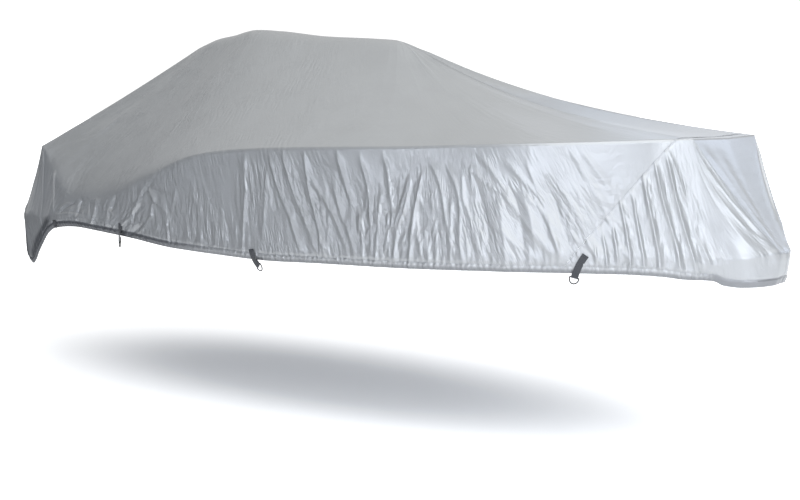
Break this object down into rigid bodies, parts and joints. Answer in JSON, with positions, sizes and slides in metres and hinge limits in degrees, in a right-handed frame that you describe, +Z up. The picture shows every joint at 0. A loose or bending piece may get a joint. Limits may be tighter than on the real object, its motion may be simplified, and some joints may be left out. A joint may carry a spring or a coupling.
{
  "type": "boat cover",
  "caption": "Fitted silver cover for a small open boat: tented top, wrinkled skirt with elastic hem, sewn nose panel and webbing tabs with D rings.",
  "frame": {"origin": "on the underside of the top at its highest point, where the boat's console or windscreen carries the cover", "axes": "+X towards the bow along the boat's length, +Y to port, +Z up"},
  "size_m": [5.0864, 2.1563, 1.5445],
  "materials": {
    "coated_cloth": "silver polyurethane-coated polyester, satin sheen",
    "webbing": "slate polypropylene webbing, matt",
    "ring_steel": "dark plated steel wire"
  },
  "bodies": {
    "root": {"cover_body": "coated_cloth", "nose_panel": "coated_cloth", "tab_starboard_quarter": "webbing", "tab_starboard_aft": "webbing", "tab_starboard_mid": "webbing", "tab_starboard_fore": "webbing", "tab_port_quarter": "webbing", "tab_port_aft": "webbing", "tab_port_mid": "webbing", "tab_port_fore": "webbing", "ring_starboard_aft": "ring_steel", "ring_starboard_mid": "ring_steel", "ring_starboard_fore": "ring_steel", "ring_port_aft": "ring_steel", "ring_port_mid": "ring_steel", "ring_port_fore": "ring_steel"}
  },
  "joints": []
}
